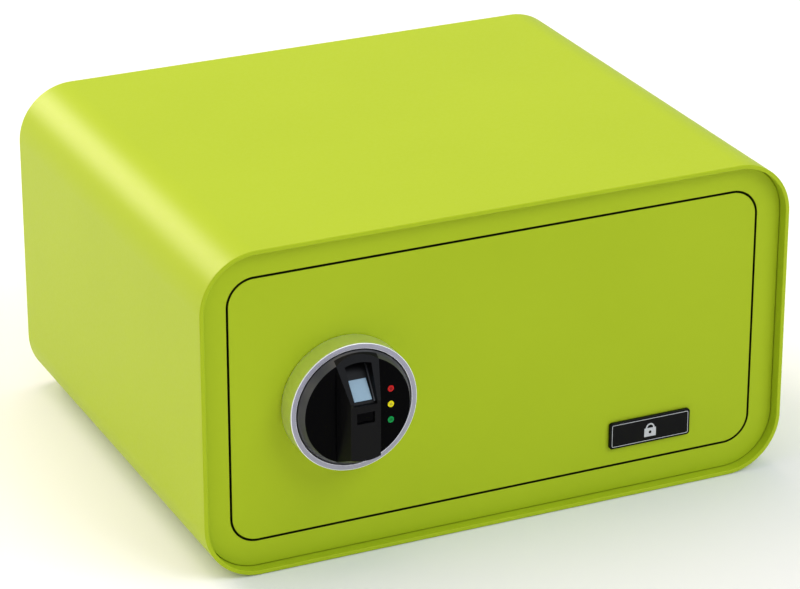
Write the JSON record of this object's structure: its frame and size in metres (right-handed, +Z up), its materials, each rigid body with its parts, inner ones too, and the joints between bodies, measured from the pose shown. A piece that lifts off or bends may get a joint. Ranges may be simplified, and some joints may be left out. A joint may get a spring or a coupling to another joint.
{
  "type": "fingerprint safe",
  "caption": "Compact steel safe with round-cornered body, flush hinged door, turning knob with finger reader and sliding locking bolts.",
  "frame": {"origin": "centre of the body's base footprint, on the surface that it stands on", "axes": "-Y out of the door, +Z up, +X to the right when facing the door"},
  "size_m": [0.43, 0.3723, 0.23],
  "materials": {
    "paint": "powder coat, lime green, satin gloss",
    "felt": "charcoal felt",
    "zinc_steel": "zinc-plated pressed steel",
    "bright_steel": "bright turned steel",
    "brass": "turned brass",
    "coil_tape": "wrapped coil tape",
    "circuit_board": "green solder mask",
    "black_plastic": "moulded ABS",
    "cell_sleeve": "plain printed sleeve",
    "lead_red": "red PVC or ABS",
    "liner_paint": "light grey powder coat",
    "gloss_black": "polished black ABS",
    "satin_black": "satin black ABS",
    "silver_print": "silver print",
    "chrome": "polished chrome plate",
    "sensor_glass": "pale blue coated glass",
    "lens_red": "tinted acrylic",
    "lens_yellow": "tinted acrylic",
    "lens_green": "tinted acrylic"
  },
  "bodies": {
    "body": {"body_shell": "paint", "front_frame": "paint", "back_panel": "paint", "floor_mat": "felt", "hinge_brackets": "zinc_steel", "hinge_pins": "bright_steel"},
    "door": {"door_plate": "paint", "hinge_knuckles": "zinc_steel", "spindle_bush": "brass", "bolt_guide": "zinc_steel", "carriage_stud": "bright_steel", "solenoid_frame": "zinc_steel", "solenoid_coil": "coil_tape", "board_posts": "brass", "control_board": "circuit_board", "board_parts": "black_plastic", "battery_box": "black_plastic", "batteries": "cell_sleeve", "battery_contacts": "bright_steel", "battery_leads": "lead_red", "knob_cable": "black_plastic", "liner_posts": "brass", "door_liner": "liner_paint", "liner_screws": "bright_steel", "badge_plate": "gloss_black", "badge_mark": "silver_print"},
    "knob": {"knob_ring": "chrome", "spindle": "bright_steel", "cam_disc": "zinc_steel", "cam_nut": "brass", "knob_cap": "gloss_black", "finger_block": "satin_black", "sensor_glass": "sensor_glass", "guide_strips": "bright_steel", "sensor_module": "black_plastic", "knob_board": "circuit_board", "power_socket": "bright_steel", "led_red": "lens_red", "led_yellow": "lens_yellow", "led_green": "lens_green"},
    "cover": {"port_cover": "satin_black"},
    "bolts": {"bolt_carriage": "zinc_steel", "locking_bolts": "bright_steel", "cam_pin": "bright_steel"},
    "blocker": {"plunger": "bright_steel"},
    "lid": {"battery_lid": "black_plastic"},
    "button": {"enrol_button": "lead_red"}
  },
  "joints": [
    {"name": "door_hinge", "type": "hinge", "parent": "body", "child": "door", "pos_m": [0.1685, -0.1559, 0.115], "axis": [0, 0, 1], "range_deg": [0, 110]},
    {"name": "knob_turn", "type": "hinge", "parent": "door", "child": "knob", "pos_m": [-0.1125, -0.1649, 0.1124], "axis": [0, -1, 0], "range_deg": [0, 90]},
    {"name": "bolt_slide", "type": "slide", "parent": "door", "child": "bolts", "axis": [-1, 0, 0], "range_m": [0, 0.0165]},
    {"name": "blocker_slide", "type": "slide", "parent": "door", "child": "blocker", "axis": [0, 0, 1], "range_m": [0, 0.009]},
    {"name": "battery_lid_slide", "type": "slide", "parent": "door", "child": "lid", "axis": [0, 0, 1], "range_m": [0, 0.04]},
    {"name": "enrol_press", "type": "slide", "parent": "door", "child": "button", "axis": [0, -1, 0], "range_m": [0, 0.0015], "stiffness_N_per_m": 200, "springref_m": -0.001},
    {"name": "port_cover_pull", "type": "slide", "parent": "knob", "child": "cover", "axis": [0, -1, 0], "range_m": [0, 0.008]}
  ],
  "couplings": [
    {"joint": "bolt_slide", "follows": "knob_turn", "m_per_rad": 0.010504}
  ]
}
